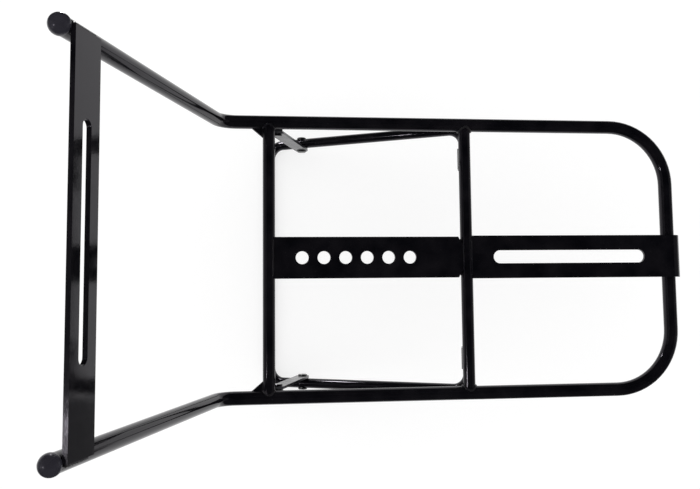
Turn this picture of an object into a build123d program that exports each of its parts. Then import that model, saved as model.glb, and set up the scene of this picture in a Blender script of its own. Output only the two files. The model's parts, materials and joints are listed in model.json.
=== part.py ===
from build123d import *
import os
from math import atan2, degrees, hypot, radians, sqrt, tan

# Folding luggage carrier for a scooter or moped: a long U-shaped tube makes the deck and its two
# arms, flat strips carry the load, and a looped leg with two hooked stays folds up under the deck.
# Millimetres. +X runs from the arms to the rear loop, +Y to the left side, +Z up from the deck.
# The origin is the middle of the row of six holes, on the underside of the front strip.

# tubes
tube_d = 12.7                 # main tube, half an inch
tube_wall = 1.5
bar_d = 11.5                  # the two cross bars
leg_d = 10.0                  # looped leg
thin_wall = 1.2
rail_spacing = 256.0          # between the centre lines of the two side rails

# heights
strip_t = 3.0
deck_z = -1.5                 # centre height of the rails and cross bars

# stations along the deck
front_bar_x = -81.5
rear_bar_x = 106.5
end_x = 309.5                 # centre line of the rear loop's straight
elbow_x = -126.0              # where the rails turn up into the arms
loop_r = 57.0                 # bend radii, on the centre line
elbow_r = 20.0

# arms, from the elbow to the open end of the tube
arm_rise = 249.0
arm_lean = 78.0

# strips
hole_strip_w = 38.8
hole_d = 12.0
hole_pitch = 20.32
hole_count = 6
slot_strip_w = 40.8
deck_slot_w = 12.4
deck_slot_length = 149.5
deck_slot_x = 206.5
lip_r = 8.0                   # inside radius of the lip behind the rear loop
lip_turn = 72.0               # how far the lip turns down, in degrees
corner_clip = 3.0             # cut off the hole strip's rear corners

# slotted back plate
plate_w = 28.5
plate_t = 3.5
plate_slot_length = 148.0
plate_slot_w = 9.8

# round knobs that close the arms
knob_d = 14.2
knob_reach = 1.5              # from the tube's end to the centre of the ball
knob_plug_d = 9.6
knob_plug = 12.0

# corner gussets between the front bar and the rails
gusset_t = 3.0
gusset_run = 10.0             # along the rail
gusset_depth = 8.5            # along the bar

# looped leg
leg_spacing = 253.0           # between the centre lines of its two sides
leg_drop = 110.0              # from the deck's centre height to the foot's
foot_x = front_bar_x + 1.5
leg_r = 15.0
spigot_end_y = 81.0           # inner end of each turned-in spigot

# hinge sleeves under the rear cross bar
hinge_back = 2.5              # how far their axis lies behind the bar's
sleeve_d = 12.6
sleeve_bore = 10.1
sleeve_y = 97.0
sleeve_length = 20.0
pivot_washer_d = 12.0
pivot_washer_t = 1.2
side_play = 0.2               # between each sleeve and its washer
split_pin_y = 83.6
split_pin_hole = 2.0
split_pin_d = 1.8
split_pin_length = 12.0
split_pin_eye_r = 1.8

# stays: flat bars on edge, beside the leg
stay_w = 13.0
stay_t = 2.5
stay_y = 120.05               # middle of its thickness
stay_pivot_reach = 175.5      # from the leg's hinge to the stay's pivot, along the leg
stud_x = front_bar_x + 8.0
stud_z = deck_z - 10.5
stay_fold_ratio = 3.34        # turn of a stay on the leg for each turn of the leg
hook_flare = radians(12)
hook_reach = 12.0
hook_gap = 3.15               # half the hook's mouth beside the stud

# rivets that the stays turn on
rivet_d = 6.0
rivet_hole_d = 6.1
rivet_head_d = 9.5
rivet_head_t = 1.4
rivet_head_edge = 0.6
rivet_play = 0.1              # between the rivet's inner head and the stay

# headed studs that the stays hook on, each on a lug in the corner of rail and front bar
lug_w = 10.0
lug_t = 3.0
lug_play = 0.6                # between each lug and its stay
stud_d = 6.0
stud_head_d = 9.0
stud_head_t = 1.6
stud_head_play = 0.3          # between the stud's head and the hook

# derived places
rail_y = rail_spacing / 2
tube_r = tube_d / 2
bar_r = bar_d / 2
leg_y = leg_spacing / 2
hinge_x = rear_bar_x + hinge_back
hinge_z = deck_z - sqrt((bar_r + sleeve_d / 2) ** 2 - hinge_back**2)
leg_run = hinge_x - foot_x
leg_fall = deck_z - leg_drop - hinge_z
leg_length = hypot(leg_run, leg_fall)
leg_dir = Vector(-leg_run, 0, leg_fall) / leg_length
hinge = Vector(hinge_x, 0, hinge_z)
leg_plane = Plane(origin=hinge, x_dir=(0, 1, 0), z_dir=Vector(0, 1, 0).cross(leg_dir))
stay_pivot = hinge + leg_dir * stay_pivot_reach
stud = Vector(stud_x, 0, stud_z)
stay_dir = (stud - stay_pivot).normalized()
stay_length = (stud - stay_pivot).length
stay_in = stay_y - stay_t / 2
lug_y = stay_y + stay_t / 2 + lug_play
arm_tip = Vector(elbow_x - arm_lean, rail_y, deck_z + arm_rise)
elbow = Vector(elbow_x, rail_y, deck_z)
arm_dir = (arm_tip - elbow).normalized()
plate_normal = Vector(0, 1, 0).cross(arm_dir)
below_hinge = Plane(origin=hinge, x_dir=(0, 1, 0), z_dir=(0, 0, -1))


def save(part, name):
    part.label = name
    export_step(part, f"parts/{name}.step")


def save_pair(part, name):
    """The part as built lies on the left, +Y; its mirror image is the right one."""
    save(part, name + "_left")
    save(mirror(part, about=Plane.XZ), name + "_right")


def across(x, y, z):
    """A plane square to Y, its own X along -X and its normal along +Y."""
    return Plane(origin=(x, y, z), x_dir=(-1, 0, 0), z_dir=(0, 1, 0))


os.makedirs("parts", exist_ok=True)

# ---------------------------------------------------------------- main tube
mirror_tip = Vector(arm_tip.X, -arm_tip.Y, arm_tip.Z)
route = [
    arm_tip,
    elbow,
    Vector(end_x, rail_y, deck_z),
    Vector(end_x, -rail_y, deck_z),
    Vector(elbow_x, -rail_y, deck_z),
    mirror_tip,
]
with BuildPart() as main_tube:
    with BuildLine() as tube_path:
        FilletPolyline(*route, radius=[elbow_r, loop_r, loop_r, elbow_r])
    with BuildSketch(Plane(origin=arm_tip, z_dir=-arm_dir)):
        Circle(tube_r)
        Circle(tube_r - tube_wall, mode=Mode.SUBTRACT)
    sweep(path=tube_path.wire())
save(main_tube.part, "main_tube")


# ---------------------------------------------------------------- cross bars
def cross_bar(x):
    """A tube between the rails, its ends coped to their round sides."""
    with BuildPart() as bar:
        with BuildSketch(across(x, 0, deck_z)):
            Circle(bar_r)
            Circle(bar_r - thin_wall, mode=Mode.SUBTRACT)
        extrude(amount=rail_y, both=True)
        with BuildSketch(Plane.YZ.offset(x)):
            with Locations((rail_y, deck_z), (-rail_y, deck_z)):
                Circle(tube_r)
        extrude(amount=bar_d, both=True, mode=Mode.SUBTRACT)
    return bar.part


save(cross_bar(front_bar_x), "front_cross_bar")
save(cross_bar(rear_bar_x), "rear_cross_bar")

# ---------------------------------------------------------------- front strip with six holes
with BuildPart() as hole_strip:
    with BuildSketch():
        with Locations(((front_bar_x + rear_bar_x) / 2, 0)):
            Rectangle(rear_bar_x - front_bar_x, hole_strip_w)
        with GridLocations(hole_pitch, 0, hole_count, 1):
            Circle(hole_d / 2, mode=Mode.SUBTRACT)
    extrude(amount=strip_t)
    with BuildSketch(Plane.XZ):
        with Locations((front_bar_x, deck_z), (rear_bar_x, deck_z)):
            Circle(bar_r)
    extrude(amount=hole_strip_w, both=True, mode=Mode.SUBTRACT)
    clip_x = rear_bar_x - bar_r
    with BuildSketch():
        with BuildLine():
            Polyline(
                (clip_x - corner_clip, hole_strip_w / 2),
                (clip_x + corner_clip, hole_strip_w / 2),
                (clip_x + corner_clip, hole_strip_w / 2 - 2 * corner_clip),
                (clip_x, hole_strip_w / 2 - 2 * corner_clip),
                close=True,
            )
        make_face()
        mirror(about=Plane.XZ)
    extrude(amount=strip_t, mode=Mode.SUBTRACT)
save(hole_strip.part, "hole_strip")

# ---------------------------------------------------------------- rear strip with slot and lip
strip_climb = deck_z + tube_r
rise_angle = atan2(strip_climb, end_x - rear_bar_x)
with BuildPart() as slotted_strip:
    with BuildSketch(Plane.XZ):
        with BuildLine():
            run = Line((rear_bar_x, 0), (end_x, strip_climb))
            JernArc(
                start=run @ 1,
                tangent=run % 1,
                radius=lip_r,
                arc_size=-lip_turn - degrees(rise_angle),
            )
            offset(amount=strip_t, side=Side.LEFT)
        make_face()
    extrude(amount=slot_strip_w / 2, both=True)
    with BuildSketch(Plane.XZ):
        with Locations((rear_bar_x, deck_z)):
            Circle(bar_r)
        with Locations((end_x, deck_z)):
            Circle(tube_r)
    extrude(amount=slot_strip_w, both=True, mode=Mode.SUBTRACT)
    with BuildSketch(Plane.XY.offset(-strip_t)):
        with Locations((deck_slot_x, 0)):
            SlotOverall(deck_slot_length, deck_slot_w)
    extrude(amount=tube_d, mode=Mode.SUBTRACT)
save(slotted_strip.part, "slotted_strip")

# ---------------------------------------------------------------- slotted back plate on the arms
plate_back = Vector(arm_tip.X, 0, arm_tip.Z) + plate_normal * tube_r
with BuildPart() as back_plate:
    with BuildSketch(Plane(origin=plate_back, x_dir=(0, 1, 0), z_dir=plate_normal)):
        with Locations((0, -plate_w / 2)):
            Rectangle(rail_spacing, plate_w)
            SlotOverall(plate_slot_length, plate_slot_w, mode=Mode.SUBTRACT)
    extrude(amount=plate_t)
save(back_plate.part, "back_plate")

# ---------------------------------------------------------------- knobs
knob_plane = Plane(origin=arm_tip, z_dir=arm_dir)
with BuildPart() as knob:
    with Locations(knob_plane.offset(knob_reach)):
        Sphere(knob_d / 2)
    split(bisect_by=knob_plane, keep=Keep.TOP)
    with BuildSketch(knob_plane):
        Circle(knob_plug_d / 2)
    extrude(amount=-knob_plug)
save_pair(knob.part, "knob")

# ---------------------------------------------------------------- corner gussets
gusset_x = front_bar_x - bar_r
gusset_y = rail_y - tube_r
with BuildPart() as gusset:
    with BuildSketch(Plane.XY.offset(deck_z)):
        with BuildLine():
            Polyline(
                (front_bar_x, rail_y),
                (gusset_x - gusset_run, rail_y),
                (gusset_x - gusset_run, gusset_y),
                (gusset_x, gusset_y - gusset_depth),
                (front_bar_x, gusset_y - gusset_depth),
                close=True,
            )
        make_face()
    extrude(amount=gusset_t / 2, both=True)
    with BuildSketch(Plane.YZ.offset(front_bar_x)):
        with Locations((rail_y, deck_z)):
            Circle(tube_r)
    extrude(amount=bar_d + gusset_run, both=True, mode=Mode.SUBTRACT)
    with BuildSketch(across(front_bar_x, 0, deck_z)):
        Circle(bar_r)
    extrude(amount=rail_y, mode=Mode.SUBTRACT)
save_pair(gusset.part, "corner_gusset")

# ---------------------------------------------------------------- hinge sleeves
with BuildPart() as hinge_sleeve:
    with BuildSketch(across(hinge_x, sleeve_y, hinge_z)):
        Circle(sleeve_d / 2)
        Circle(sleeve_bore / 2, mode=Mode.SUBTRACT)
    extrude(amount=sleeve_length / 2, both=True)
save_pair(hinge_sleeve.part, "hinge_sleeve")

# ---------------------------------------------------------------- looped leg
with BuildPart() as leg_frame:
    with BuildLine(leg_plane) as leg_path:
        FilletPolyline(
            (spigot_end_y, 0),
            (leg_y, 0),
            (leg_y, leg_length),
            (-leg_y, leg_length),
            (-leg_y, 0),
            (-spigot_end_y, 0),
            radius=leg_r,
        )
    with BuildSketch(across(hinge_x, spigot_end_y, hinge_z)):
        Circle(leg_d / 2)
        Circle(leg_d / 2 - thin_wall, mode=Mode.SUBTRACT)
    sweep(path=leg_path.wire())
    with BuildSketch(across(stay_pivot.X, 0, stay_pivot.Z)):
        Circle(rivet_hole_d / 2)
    extrude(amount=leg_spacing, both=True, mode=Mode.SUBTRACT)
    with BuildSketch(below_hinge):
        with Locations((split_pin_y, 0), (-split_pin_y, 0)):
            Circle(split_pin_hole / 2)
    extrude(amount=leg_d, both=True, mode=Mode.SUBTRACT)
save(leg_frame.part, "leg_frame")

# ---------------------------------------------------------------- stays
# Drawn in the plane of one stay: x across it, towards the rear, and y up it, from pivot to stud.
stay_across = Vector(stay_dir.Z, 0, -stay_dir.X)
stay_plane = Plane(
    origin=(stay_pivot.X, stay_y, stay_pivot.Z), x_dir=stay_across, z_dir=(0, -1, 0)
)

# The hook opens the way the stud first slips out of it as the leg starts to fold.
slip = (stud - hinge + (stud - stay_pivot) * stay_fold_ratio).cross(Vector(0, 1, 0))
exit_way = Vector(slip.dot(stay_across), slip.dot(stay_dir)).normalized()
exit_side = Vector(-exit_way.Y, exit_way.X)
mouth_gap = hook_gap + hook_reach * tan(hook_flare)
hook_seat = Vector(0, stay_length)
with BuildPart() as stay:
    with BuildSketch(stay_plane):
        with Locations((0, 0), hook_seat):
            Circle(stay_w / 2)
        with Locations((0, stay_length / 2)):
            Rectangle(stay_w, stay_length)
        Circle(rivet_hole_d / 2, mode=Mode.SUBTRACT)
        with Locations(hook_seat):
            Circle(hook_gap, mode=Mode.SUBTRACT)
        with BuildLine():
            Polyline(
                hook_seat + exit_side * hook_gap,
                hook_seat + exit_way * hook_reach + exit_side * mouth_gap,
                hook_seat + exit_way * hook_reach - exit_side * mouth_gap,
                hook_seat - exit_side * hook_gap,
                close=True,
            )
        make_face(mode=Mode.SUBTRACT)
    extrude(amount=stay_t / 2, both=True)
save_pair(stay.part, "stay")

# ---------------------------------------------------------------- rivets and studs
rivet_in = stay_in - rivet_play
rivet_out = leg_y + leg_d / 2
with BuildPart() as stay_rivet:
    with BuildSketch(across(stay_pivot.X, rivet_in, stay_pivot.Z)):
        Circle(rivet_d / 2)
    extrude(amount=rivet_out - rivet_in)
    with BuildSketch(across(stay_pivot.X, rivet_out, stay_pivot.Z)):
        Circle(rivet_head_d / 2)
    extrude(amount=rivet_head_t)
    chamfer(stay_rivet.faces().sort_by(Axis.Y)[-1].edges(), length=rivet_head_edge)
    with BuildSketch(across(stay_pivot.X, rivet_in, stay_pivot.Z)):
        Circle(rivet_head_d / 2)
    extrude(amount=-rivet_head_t)
    chamfer(stay_rivet.faces().sort_by(Axis.Y)[0].edges(), length=rivet_head_edge)
save_pair(stay_rivet.part, "stay_rivet")

with BuildPart() as stud_lug:
    with BuildSketch(across(stud_x, lug_y, stud_z)):
        Circle(lug_w / 2)
        with Locations((0, (deck_z - stud_z) / 2)):
            Rectangle(lug_w, deck_z - stud_z)
    extrude(amount=lug_t)
    with BuildSketch(Plane.YZ.offset(stud_x)):
        with Locations((rail_y, deck_z)):
            Circle(tube_r)
    extrude(amount=lug_w, both=True, mode=Mode.SUBTRACT)
    with BuildSketch(across(front_bar_x, 0, deck_z)):
        Circle(bar_r)
    extrude(amount=rail_y, mode=Mode.SUBTRACT)
save_pair(stud_lug.part, "stud_lug")

stud_head_y = stay_in - stud_head_play
with BuildPart() as hook_stud:
    with BuildSketch(across(stud_x, stud_head_y, stud_z)):
        Circle(stud_d / 2)
    extrude(amount=lug_y - stud_head_y)
    with BuildSketch(across(stud_x, stud_head_y, stud_z)):
        Circle(stud_head_d / 2)
    extrude(amount=-stud_head_t)
    chamfer(hook_stud.faces().sort_by(Axis.Y)[0].edges(), length=rivet_head_edge)
save_pair(hook_stud.part, "hook_stud")

# ---------------------------------------------------------------- what keeps the leg in its sleeves
pivot_washer_y = sleeve_y - sleeve_length / 2 - side_play - pivot_washer_t
with BuildPart() as pivot_washer:
    with BuildSketch(across(hinge_x, pivot_washer_y, hinge_z)):
        Circle(pivot_washer_d / 2)
        Circle(sleeve_bore / 2, mode=Mode.SUBTRACT)
    extrude(amount=pivot_washer_t)
save_pair(pivot_washer.part, "pivot_washer")

split_pin_wire = split_pin_d / 2
eye_z = hinge_z - split_pin_length / 2 - split_pin_eye_r
with BuildPart() as split_pin:
    with BuildSketch(below_hinge.offset(-split_pin_length / 2)):
        with Locations((split_pin_y, 0)):
            Circle(split_pin_wire)
    extrude(amount=split_pin_length)
    with Locations(Plane(origin=(hinge_x, split_pin_y, eye_z), z_dir=(0, 1, 0))):
        Torus(split_pin_eye_r, split_pin_wire)
save_pair(split_pin.part, "split_pin")
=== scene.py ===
# %% [markdown]
# # A folding luggage carrier, dressed over its CAD frame
# The carrier is a bent steel tube painted gloss black, with flat strips welded across it and a leg
# that folds up under the deck. Its solids come from CAD and stay as they are. These cells give
# them paint, plating and plastic, add the weld beads that hold the pieces together, and light it.
# %% Load the frame
import json
import math
import random
import bpy
from mathutils import Matrix, Vector


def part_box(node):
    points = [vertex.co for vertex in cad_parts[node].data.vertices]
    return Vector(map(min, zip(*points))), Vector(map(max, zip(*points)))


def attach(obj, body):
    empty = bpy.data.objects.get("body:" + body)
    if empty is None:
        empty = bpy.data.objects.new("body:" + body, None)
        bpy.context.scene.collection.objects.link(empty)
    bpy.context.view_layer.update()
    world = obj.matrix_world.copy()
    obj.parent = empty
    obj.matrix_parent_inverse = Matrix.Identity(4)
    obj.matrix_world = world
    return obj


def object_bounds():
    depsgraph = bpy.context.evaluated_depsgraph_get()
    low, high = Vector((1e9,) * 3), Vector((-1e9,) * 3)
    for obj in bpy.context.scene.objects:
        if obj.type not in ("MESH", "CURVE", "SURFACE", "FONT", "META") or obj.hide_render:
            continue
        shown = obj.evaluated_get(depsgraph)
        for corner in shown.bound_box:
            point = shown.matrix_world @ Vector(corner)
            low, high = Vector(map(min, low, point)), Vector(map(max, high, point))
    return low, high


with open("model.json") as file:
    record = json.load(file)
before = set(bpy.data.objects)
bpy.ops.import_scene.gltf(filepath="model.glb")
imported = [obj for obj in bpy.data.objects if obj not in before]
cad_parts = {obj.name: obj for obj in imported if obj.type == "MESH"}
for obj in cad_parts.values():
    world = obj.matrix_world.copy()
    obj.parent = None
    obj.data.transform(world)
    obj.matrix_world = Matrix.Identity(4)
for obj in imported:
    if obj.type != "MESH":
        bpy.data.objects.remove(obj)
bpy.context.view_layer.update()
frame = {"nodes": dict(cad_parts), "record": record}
MM = 0.001
scene = bpy.context.scene

# %% [markdown]
# ## Camera
# The carrier is seen from above its deck, from about 0.7 m, so its arms lean out of the deck
# towards the lens. A long lens far away would flatten the arms; this one is near enough for them
# to open out. The camera could be aimed at a point, but three small turns and one offset say
# more plainly how far it is from looking straight down.
# %% Camera
TURN_X, TURN_Y, TURN_Z = -0.0792, -0.1074, -0.001
look_down = Matrix.Diagonal((1, -1, -1))
tilt = Matrix.Rotation(TURN_Y, 3, "Y") @ Matrix.Rotation(TURN_X, 3, "X")
turn = Matrix.Rotation(TURN_Z, 3, "Z") @ tilt @ look_down
offset = Vector((5.808, 23.46, 700.12)) * MM
axes = Matrix((turn[0], -turn[1], -turn[2])).transposed()

camera_data = bpy.data.cameras.new("camera")
camera_data.sensor_fit = "HORIZONTAL"
camera_data.sensor_width = 36
camera_data.lens = 38.314
camera_data.shift_y = -0.01697
camera_data.clip_start = 0.01
camera = bpy.data.objects.new("camera", camera_data)
scene.collection.objects.link(camera)
scene.camera = camera
camera.matrix_world = Matrix.Translation(-(turn.transposed() @ offset)) @ axes.to_4x4()
print("camera at", tuple(round(v, 3) for v in camera.matrix_world.translation))

# %% [markdown]
# ## Building blocks for the finishes
# Paint, plastic and plating are never one flat colour: they have clouds, specks and a fine grain.
# Pictures wrapped round the tubes could show that, but they would stretch at the bends. Noise
# in each piece's own coordinates has the same grain on every piece, and needs no unwrapping.
# %% A new material and its noise


def new_material(name):
    """An empty material, with its nodes and its main shader."""
    made = bpy.data.materials.new(name)
    made.use_nodes = True
    return made, made.node_tree, made.node_tree.nodes["Principled BSDF"]


def noise(tree, scale, detail=4.0):
    """Noise in the object's own coordinates, in metres."""
    where = tree.nodes.new("ShaderNodeTexCoord")
    node = tree.nodes.new("ShaderNodeTexNoise")
    node.inputs["Scale"].default_value = scale
    node.inputs["Detail"].default_value = detail
    tree.links.new(where.outputs["Object"], node.inputs["Vector"])
    return node.outputs["Fac"]


print("noise ready")

# %% [markdown]
# A ramp turns the noise into colours or into gloss, and a bump turns it into a surface that is
# slightly uneven to the light, without moving the metal itself.
# %% Ramp, bump and sum


def ramp(tree, source, stops):
    """A colour ramp through stops of (position, grey or colour)."""
    node = tree.nodes.new("ShaderNodeValToRGB")
    elements = node.color_ramp.elements
    for i, (at, value) in enumerate(stops):
        element = elements[i] if i < 2 else elements.new(at)
        element.position = at
        element.color = value if isinstance(value, tuple) else (value, value, value, 1)
    tree.links.new(source, node.inputs["Fac"])
    return node.outputs["Color"]


def bump(tree, shader, source, strength, distance):
    """Grain on the surface, as a change of its normal."""
    node = tree.nodes.new("ShaderNodeBump")
    node.inputs["Strength"].default_value = strength
    node.inputs["Distance"].default_value = distance
    tree.links.new(source, node.inputs["Height"])
    tree.links.new(node.outputs["Normal"], shader.inputs["Normal"])


def add_colours(tree, first, second):
    """The sum of two colours."""
    node = tree.nodes.new("ShaderNodeVectorMath")
    node.operation = "ADD"
    tree.links.new(first, node.inputs[0])
    tree.links.new(second, node.inputs[1])
    return node.outputs[0]


print("ramp, bump and sum ready")

# %% [markdown]
# ## Black coatings
# Stoved paint and moulded plastic are both a dark body under a glossy skin. One recipe serves
# them all: a cloudy colour, pale specks of dust, gloss that comes and goes, and a fine grain.
# The skin's reflections are a little violet, as an old black gloss often is.
# %% Recipe of a black coating
CLOUDS, DUST, PATCHES, GRAIN = 45, 1400, 180, 700  # how fine each noise is, per metre
GRAIN_DEPTH = 0.0002
VIOLET_SHINE = (0.94, 0.88, 1, 1)


def coating(name, low, high, rough, dust, grain):
    """A dark coating between two colours, low and high, both as (red, green, blue)."""
    made, tree, shader = new_material(name)
    cloudy = ramp(tree, noise(tree, CLOUDS), [(0.35, (*low, 1)), (0.7, (*high, 1))])
    specks = ramp(tree, noise(tree, DUST, 2), [(0.7, 0.0), (0.8, dust)])
    tree.links.new(add_colours(tree, cloudy, specks), shader.inputs["Base Color"])
    shader.inputs["Specular IOR Level"].default_value = 0.3
    shader.inputs["Specular Tint"].default_value = VIOLET_SHINE
    uneven = ramp(tree, noise(tree, PATCHES, 6), [(0.3, rough), (0.75, rough * 1.8)])
    tree.links.new(uneven, shader.inputs["Roughness"])
    bump(tree, shader, noise(tree, GRAIN, 3), grain, GRAIN_DEPTH)
    return made


print("coating ready")

# %% [markdown]
# The tubes and strips wear the glossiest coat. The two flat stays have a duller, dustier coat,
# and a paler one: the paleness is painted light, for the pale floor that their flat faces reflect.
# The knobs are moulded plastic with a soft gloss, and the paint over the welds is rougher than
# on plain tube, because it follows the ripples.
# %% The four coatings
gloss_paint = coating(
    "gloss_black_paint", (0.002, 0.002, 0.003), (0.006, 0.0055, 0.007),
    rough=0.07, dust=0.03, grain=0.05,
)
# painted light: the stays' paler colours stand in for the pale floor that their flat faces reflect
stay_paint = coating(
    "stay_paint", (0.01, 0.01, 0.012), (0.05, 0.05, 0.055),
    rough=0.16, dust=0.08, grain=0.1,
)
knob_plastic = coating(
    "black_knob", (0.019, 0.018, 0.024), (0.030, 0.029, 0.038),
    rough=0.2, dust=0.03, grain=0.05,
)
weld_paint = coating(
    "painted_weld", (0.004, 0.004, 0.006), (0.016, 0.015, 0.016),
    rough=0.15, dust=0.04, grain=0.15,
)
print("coatings", [made.name for made in (gloss_paint, stay_paint, knob_plastic, weld_paint)])

# %% [markdown]
# Rivets, washers and split pins are too small to paint well. They are steel with a dark plating,
# so this one is a metal: it has no body colour, only a grey reflection that varies in patches.
# %% Dark plating
plating, tree, shader = new_material("dark_plated_steel")
shader.inputs["Metallic"].default_value = 1
grey = ramp(tree, noise(tree, 300), [(0.3, 0.10), (0.7, 0.24)])
tree.links.new(grey, shader.inputs["Base Color"])
dull = ramp(tree, noise(tree, 500), [(0.3, 0.26), (0.7, 0.42)])
tree.links.new(dull, shader.inputs["Roughness"])
bump(tree, shader, noise(tree, 1500, 2), 0.1, 0.0001)
print("plating ready")

# %% [markdown]
# The frame's record names a material slot for each of its nodes. Going by those slots keeps the
# dressed carrier and its record in step, and a node that is added later gets its finish too.
# %% Finish every node
finish_of_slot = {
    "gloss_black_paint": gloss_paint,
    "stay_paint": stay_paint,
    "black_knob": knob_plastic,
    "dark_plated_steel": plating,
}
slot_of_node = {part["node"]: part["material_slot"] for part in frame["record"]["subparts"]}
for node_name, node in frame["nodes"].items():
    node.data.materials.clear()
    node.data.materials.append(finish_of_slot[slot_of_node[node_name]])
print("nodes finished", len(slot_of_node))

# %% [markdown]
# ## Weld beads
# Every fixed joint on the real carrier is an arc weld under the paint. A bead is a row of small
# overlapping ripples. Each one could be carved from a tube with a displacement, but its ripples
# would then follow the mesh. Here the bead is swept along the joint as rings of points whose
# radius swells and shrinks every 1.6 mm, so each ripple is real and lies across the joint.
# %% Along the joint: even steps and the radius at each
random.seed(4)
RIPPLE = 1.6 * MM
STEP = 0.4 * MM
RING = 10  # points round the bead
MEAN_SWELL, SWELL, CHANCE = 0.86, 0.2, 0.04  # of the bead's radius
FADE_STEPS = 5  # steps over which a bead's end grows to its full radius


def even_steps(path, closed):
    """Points at even steps along a path in millimetres."""
    corners = [Vector(p) * MM for p in path]
    points = [corners[0]]
    for a, b in zip(corners, corners[1:]):
        steps = max(1, round((b - a).length / STEP))
        points += [a.lerp(b, (i + 1) / steps) for i in range(steps)]
    if closed:
        points.pop()
    return points


def ripple_radii(points, radius, closed):
    """The bead's radius at each point: ripples, a little chance, and thin ends."""
    radii, run, last = [], 0.0, len(points) - 1
    for i, at in enumerate(points):
        run += (at - points[i - 1]).length if i else 0
        swell = MEAN_SWELL + SWELL * abs(math.sin(math.pi * run / RIPPLE))
        swell += random.uniform(-CHANCE, CHANCE)
        fade = 1 if closed else min(1, math.sqrt((min(i, last - i) + 0.3) / FADE_STEPS))
        radii.append(radius * MM * swell * fade)
    return radii


print("ripples every", round(RIPPLE / MM, 1), "mm")

# %% [markdown]
# The rings of points are joined into a skin of four-sided faces. Each ring stands square to the
# path, and its first point follows on from the ring before, so the skin never twists. An open
# bead gets a small lid at both ends, which keeps every bead a closed solid.
# %% Round the joint: rings and faces


def ring_points(points, radii, closed):
    """A ring of points round each point of the path, square to the path."""
    count, verts, side = len(points), [], None
    for i, at in enumerate(points):
        ahead = points[(i + 1) % count] if closed or i + 1 < count else at
        behind = points[i - 1] if closed or i else at
        along = (ahead - behind).normalized()
        side = along.orthogonal() if side is None else side - along * side.dot(along)
        side.normalize()
        up = along.cross(side)
        for k in range(RING):
            angle = 2 * math.pi * k / RING
            verts.append(at + (side * math.cos(angle) + up * math.sin(angle)) * radii[i])
    return verts


def ring_faces(count, closed):
    """Faces between neighbouring rings, and a lid on both ends of an open bead."""
    faces = []
    for i in range(count if closed else count - 1):
        here, there = i * RING, (i + 1) % count * RING
        for k in range(RING):
            n = (k + 1) % RING
            faces.append((here + k, here + n, there + n, there + k))
    if not closed:
        faces.append(tuple(range(RING))[::-1])
        faces.append(tuple(range((count - 1) * RING, count * RING)))
    return faces


print("points in a ring", RING)

# %% [markdown]
# A bead belongs to the body that it is welded on, and all of them are on the fixed frame. It is
# painted too, because the real ones are under the same coat as the frame.
# %% One finished bead


def bead(name, path, radius, closed=False):
    """A rippled, painted bead on the frame, along a path in millimetres."""
    points = even_steps(path, closed)
    radii = ripple_radii(points, radius, closed)
    mesh = bpy.data.meshes.new(name)
    mesh.from_pydata(ring_points(points, radii, closed), [], ring_faces(len(points), closed))
    mesh.update()
    for face in mesh.polygons:
        face.use_smooth = True
    mesh.materials.append(weld_paint)
    made = bpy.data.objects.new(name, mesh)
    scene.collection.objects.link(made)
    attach(made, "frame")


print("bead ready")

# %% [markdown]
# ## Where the joints are
# The beads follow the tubes, so their places are measured on the CAD solids. A round solid's mesh
# is cut from flats and comes out some hundredths of a millimetre small, so each size is rounded.
# %% Sizes of tubes and bars, in millimetres


def ends(node_name, axis):
    """Where a node starts and stops along X, Y or Z."""
    low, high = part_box(node_name)
    return low["XYZ".index(axis)] / MM, high["XYZ".index(axis)] / MM


def middle(node_name, axis):
    """The middle of a node along X, Y or Z, to a tenth."""
    return round(sum(ends(node_name, axis)) / 2, 1)


FRONT_X, REAR_X = middle("front_cross_bar", "X"), middle("rear_cross_bar", "X")
DECK_Z = middle("front_cross_bar", "Z")
BAR_R = round(ends("front_cross_bar", "Z")[1] - DECK_Z, 2)
RAIL_R = round(DECK_Z - ends("main_tube", "Z")[0], 2)
RAIL_Y = round(ends("main_tube", "Y")[1] - RAIL_R, 1)
LOOP_X = round(ends("main_tube", "X")[1] - RAIL_R, 1)
SIDES = (("left", 1), ("right", -1))
print("bars at", FRONT_X, REAR_X, "radius", BAR_R, "rails at", RAIL_Y, "radius", RAIL_R)

# %% [markdown]
# ## Cross bars to rails
# The end of each bar is coped to fit the round rail, so its bead runs round the bar in a saddle:
# it reaches out above and below, where the rail curves away. A flat ring would float off the
# rail there. The front bar's beads are left open low on the rear side, where the hook of a stay
# swings by.
# %% Saddle beads
BEAD_OUT = 0.2  # the bead's middle lies this far outside both tubes
SADDLE_STEPS = 48


def rail_face(height, grow=0.0):
    """How far the side of a rail's tube lies from the rail's middle at this height."""
    return math.sqrt(max(0, (RAIL_R + grow) ** 2 - (height - DECK_Z) ** 2))


def saddle(bar_x, side, first, last):
    """A path round a bar's end, from the first angle to the last in degrees."""
    path = []
    for k in range(SADDLE_STEPS + 1):
        angle = math.radians(first + (last - first) * k / SADDLE_STEPS)
        x = bar_x + (BAR_R + BEAD_OUT) * math.cos(angle)
        z = DECK_Z + (BAR_R + BEAD_OUT) * math.sin(angle)
        path.append((x, side * (RAIL_Y - rail_face(z, BEAD_OUT)), z))
    return path


for bar, bar_x, first, last in (("front", FRONT_X, 8, 278), ("rear", REAR_X, 0, 360)):
    for side_name, side in SIDES:
        path = saddle(bar_x, side, first, last)
        bead(f"weld_{bar}_bar_{side_name}", path, 1.25, closed=bar == "rear")
print("bar welds done")

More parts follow.
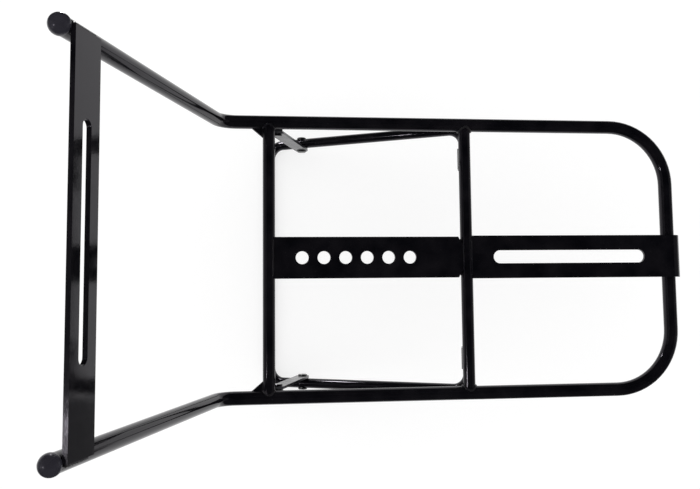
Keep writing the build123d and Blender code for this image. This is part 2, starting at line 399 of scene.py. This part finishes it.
# %% [markdown]
# ## Flat strips to bars and loop
# The strips' ends lie against the round bars, so each end has one bead on top and one below. A
# straight bead across the strip is all that the real one has, and it stops short of the edges.
# %% Strip beads
STRIP_BEAD = ends("hole_strip", "Y")[1] - 1.85  # half a bead's length
strip_low, strip_top = (round(z, 2) for z in ends("hole_strip", "Z"))
top_z, low_z = strip_top + 0.1, strip_low - 0.4
top_reach = math.sqrt(BAR_R**2 - (strip_top - DECK_Z) ** 2) + 0.3
low_reach = math.sqrt(BAR_R**2 - (strip_low - DECK_Z) ** 2) + 0.4
for name, x, z in (
    ("strip_front_top", FRONT_X + top_reach, top_z),
    ("strip_front_low", FRONT_X + low_reach, low_z),
    ("strip_middle_top", REAR_X - top_reach, top_z),
    ("strip_middle_low", REAR_X - low_reach, low_z),
    ("slot_strip_top", REAR_X + top_reach, top_z),
    ("slot_strip_low", REAR_X + low_reach, low_z),
    ("slot_strip_loop", LOOP_X - 4.4, 3.9),
):
    # the front strip's rear end has its corners clipped, so its top bead is shorter
    reach = STRIP_BEAD - 4 if name == "strip_middle_top" else STRIP_BEAD
    bead(f"weld_{name}", [(x, -reach, z), (x, reach, z)], 0.85)
print("strip welds done")

# %% [markdown]
# ## Back plate to arms
# The plate lies on the front of both arms, near their tops. Its beads run up each arm, one inside
# and one outside, as a welder would lay them. The arms lean back, so the beads are placed along
# the arm and square out from it, and not by height.
# %% Plate beads
ELBOW_X, ARM_LEAN, ARM_RISE = -126.0, 78.0, 249.0
BEAD_FOOT, BEAD_HEAD = 27.5, 1.0  # down the arm from its top
arm_along = Vector((-ARM_LEAN, 0, ARM_RISE)).normalized()
arm_out = Vector((0, 1, 0)).cross(arm_along)
arm_top = Vector((ELBOW_X - ARM_LEAN, 0, DECK_Z + ARM_RISE))
bead_start = arm_top - arm_along * BEAD_FOOT
bead_end = arm_top - arm_along * BEAD_HEAD
for side_name, side in SIDES:
    for where, y, out in (("inner", RAIL_Y - 4.2, 5.4), ("outer", RAIL_Y + 1.0, 6.9)):
        shift = arm_out * out + Vector((0, side * y, 0))
        path = [bead_start + shift, bead_end + shift]
        bead(f"weld_plate_{where}_{side_name}", path, 1.3)
print("plate beads", round((bead_end - bead_start).length, 1), "mm long")

# %% [markdown]
# ## Gussets in the front corners
# A small plate stiffens each corner of rail and front bar. It is welded to both tubes along its
# top and its bottom edge, with short thin beads that start and stop inside the plate's length.
# %% Gusset beads
GUSSET_RISE = 1.9  # each bead lies this far above or below the plate's middle
GUSSET_X = (-97, -88.5)
GUSSET_Y = (114, 120.5)


def weld_gusset(side_name, side):
    for where, z in (("top", DECK_Z + GUSSET_RISE), ("low", DECK_Z - GUSSET_RISE)):
        y = side * (RAIL_Y - rail_face(z, 0.1))
        bead(f"weld_gusset_rail_{where}_{side_name}", [(x, y, z) for x in GUSSET_X], 0.8)
        x = FRONT_X - math.sqrt(BAR_R**2 - GUSSET_RISE**2) - 0.1
        path = [(x, side * y, z) for y in GUSSET_Y]
        bead(f"weld_gusset_bar_{where}_{side_name}", path, 0.8)


print("gusset beads at", DECK_Z + GUSSET_RISE, "and", DECK_Z - GUSSET_RISE)

# %% [markdown]
# ## Hinge sleeves under the rear bar
# The leg turns in two short tubes that are welded to the rear bar. Two round tubes touch along one
# line, so a bead runs along the groove on each side of it. The groove is found from the line
# between the two middles, wherever the sleeve sits round the bar.
# %% Sleeve beads
GROOVE = 2.9  # from the line of touch to the middle of a bead


def weld_sleeve(side_name):
    low, high = (Vector(v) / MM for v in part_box(f"hinge_sleeve_{side_name}"))
    hinge = (low + high) / 2
    to_hinge = Vector((hinge.x - REAR_X, 0, hinge.z - DECK_Z)).normalized()
    touch = Vector((REAR_X, 0, DECK_Z)) + to_hinge * BAR_R
    for where, shift in (("front", -GROOVE), ("rear", GROOVE)):
        at = touch + Vector((-to_hinge.z, 0, to_hinge.x)) * shift
        path = [(at.x, y, at.z) for y in (low.y + 0.8, high.y - 0.8)]
        bead(f"weld_sleeve_{where}_{side_name}", path, 1.1)


print("groove beads", GROOVE, "mm from the line of touch")

# %% [markdown]
# ## Lugs and studs for the stays
# A small lug hangs from each front corner and carries the stud that a stay hooks over. It is
# welded to the rail inside and outside, and to the bar in the corner. The stay passes close by
# the lug, so these beads are thin and keep to the lug's side. The stud has a fine bead round it.
# %% Lug and stud beads
LUG_END_X = -68.9
STUD_X, STUD_Z = middle("hook_stud_left", "X"), middle("hook_stud_left", "Z")


def weld_lug(side_name, side):
    for where, from_bar, y, z in (("inner", BAR_R, 122.15, -3.5), ("outer", 3.5, 125.1, -7.3)):
        path = [(FRONT_X + from_bar, side * y, z), (LUG_END_X, side * y, z)]
        bead(f"weld_lug_{where}_{side_name}", path, 0.6)
    corner, reach = [], BAR_R + BEAD_OUT
    for k in range(13):
        angle = math.radians(-14 - 42 * k / 12)
        x, z = FRONT_X + reach * math.cos(angle), DECK_Z + reach * math.sin(angle)
        corner.append((x, side * 122.1, z))
    bead(f"weld_lug_bar_{side_name}", corner, 0.55)


def weld_stud(side_name, side):
    ring, reach = [], 3.25
    for k in range(25):
        angle = 2 * math.pi * k / 24
        x, z = STUD_X + reach * math.cos(angle), STUD_Z + reach * math.sin(angle)
        ring.append((x, side * 121.95, z))
    bead(f"weld_stud_{side_name}", ring, 0.35, closed=True)


print("stud at", STUD_X, STUD_Z)

# %% [markdown]
# Both sides of the carrier have the same small parts, so one loop welds the left and then the
# right. The chance in the ripples runs on from bead to bead, so no two beads are quite alike.
# %% Weld the small parts
for side_name, side in SIDES:
    weld_gusset(side_name, side)
    weld_sleeve(side_name)
    weld_lug(side_name, side)
    weld_stud(side_name, side)

# %% [markdown]
# ## Floor
# A plain pale floor lies under the carrier and takes its soft shadow. The floor is a mid grey, so
# that little light comes back from it onto the black paint. It gets its white from a glow that
# only the camera, shiny reflections and clear things see, and that lights nothing else.
# %% Floor
FLOOR_GREY = 0.4
FLOOR_GLOW = 0.66
FLOOR_GAP = 0.0005


def scalar(tree, operation, first, second):
    """One step of arithmetic. The result stays between 0 and 1."""
    node = tree.nodes.new("ShaderNodeMath")
    node.operation = operation
    node.use_clamp = True
    tree.links.new(first, node.inputs[0])
    if isinstance(second, float):
        node.inputs[1].default_value = second
    else:
        tree.links.new(second, node.inputs[1])
    return node.outputs[0]


floor_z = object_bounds()[0][2] - FLOOR_GAP
bpy.ops.mesh.primitive_plane_add(size=8, location=(0, 0, floor_z))
floor = bpy.context.object
floor.name = "floor"
pale, tree, shader = new_material("pale_floor")
shader.inputs["Base Color"].default_value = (FLOOR_GREY, FLOOR_GREY, FLOOR_GREY, 1)
shader.inputs["Roughness"].default_value = 0.9
shader.inputs["Specular IOR Level"].default_value = 0
shader.inputs["Emission Color"].default_value = (1, 1, 1, 1)
rays = tree.nodes.new("ShaderNodeLightPath").outputs
seen = scalar(tree, "ADD", rays["Is Camera Ray"], rays["Is Glossy Ray"])
seen = scalar(tree, "ADD", seen, rays["Is Transmission Ray"])
glow = scalar(tree, "MULTIPLY", seen, FLOOR_GLOW)
tree.links.new(glow, shader.inputs["Emission Strength"])
floor.data.materials.append(pale)
print("floor at", round(floor_z / MM, 1), "mm")

# %% [markdown]
# ## World
# The light is that of a white studio with no strong side, so it comes from an even white world.
# Lamps would give harder shadows than a luggage carrier in a plain white room has.
# %% World
world = bpy.data.worlds.new("studio")
scene.world = world
world.use_nodes = True
background = world.node_tree.nodes["Background"]
background.inputs["Color"].default_value = (1, 1, 1, 1)
background.inputs["Strength"].default_value = 0.95
print("world", background.inputs["Strength"].default_value)

# %% [markdown]
# ## Cards
# Gloss paint shows whatever is around it, so dark and grey cards stand above and around the
# carrier, as they would in a studio: they keep the flat strips black, and the tubes show the pale
# floor only in thin lines along their edges. Three small lamps add the glints on the leg, the
# bars and the loop. Only shiny reflections see them, so they change no other light.
# %% One card


def card(name, size, at, aim, grey, glow=0.0):
    """A flat card that only shiny surfaces see, facing a point."""
    bpy.ops.mesh.primitive_plane_add(size=1, location=at)
    made = bpy.context.object
    made.name = name
    made.scale = (size[0], size[1], 1)
    made.rotation_euler = (Vector(aim) - Vector(at)).to_track_quat("Z", "Y").to_euler()
    finish, tree, shader = new_material(name)
    shader.inputs["Base Color"].default_value = (grey, grey, grey, 1)
    shader.inputs["Roughness"].default_value = 1
    shader.inputs["Specular IOR Level"].default_value = 0
    shader.inputs["Emission Color"].default_value = (1, 1, 1, 1)
    shader.inputs["Emission Strength"].default_value = glow
    made.data.materials.append(finish)
    made.visible_camera = False
    made.visible_diffuse = False
    made.visible_shadow = False


print("card ready")

# %% [markdown]
# The box of cards is closest to black over the deck and beside the rails. It is greyer behind the
# arms and the loop, so that the upright tubes are not lost. The flag lies beyond the right
# rail, where the low end of the back plate would otherwise show bright floor.
# %% The cards and the lamps
WALL_Z = 0.42
for name, size, at, aim, grey in (
    ("ceiling", (6.0, 6.0), (0, 0, 0.95), (0, 0, 0), 0.02),
    ("wall_arms", (2.0, 1.08), (-1.0, 0, WALL_Z), (0, 0, WALL_Z), 0.35),
    ("wall_loop", (2.0, 1.08), (1.2, 0, WALL_Z), (0, 0, WALL_Z), 0.25),
    ("wall_left", (2.4, 1.08), (0.1, 0.40, WALL_Z), (0.1, 0, WALL_Z), 0.02),
    ("wall_right", (2.4, 1.08), (0.1, -0.40, WALL_Z), (0.1, 0, WALL_Z), 0.06),
    ("flag", (0.6, 0.28), (0.45, -0.30, -0.11), (0.45, -0.30, 1), 0.25),
):
    card(name, size, at, aim, grey)
for name, width, at, aim, glow in (
    ("lamp_left", 0.05, (-0.262, 0.351, -0.03), (-0.068, 0.126, -0.1), 90),
    ("lamp_high", 0.05, (-0.90, -0.27, 0.92), (0.29, 0.09, 0), 120),
    ("lamp_right", 0.014, (-0.744, -0.225, 0.422), (-0.065, -0.126, -0.1), 120),
):
    card(name, (width, width), at, aim, 0, glow)
print("stage ready")

# %% [markdown]
# ## How colours are shown
# The dressed carrier must be no bigger than its CAD frame. Colours are shown as they are
# written, without a film look over them.
# %% How colours are shown
scene.view_settings.view_transform = "Standard"
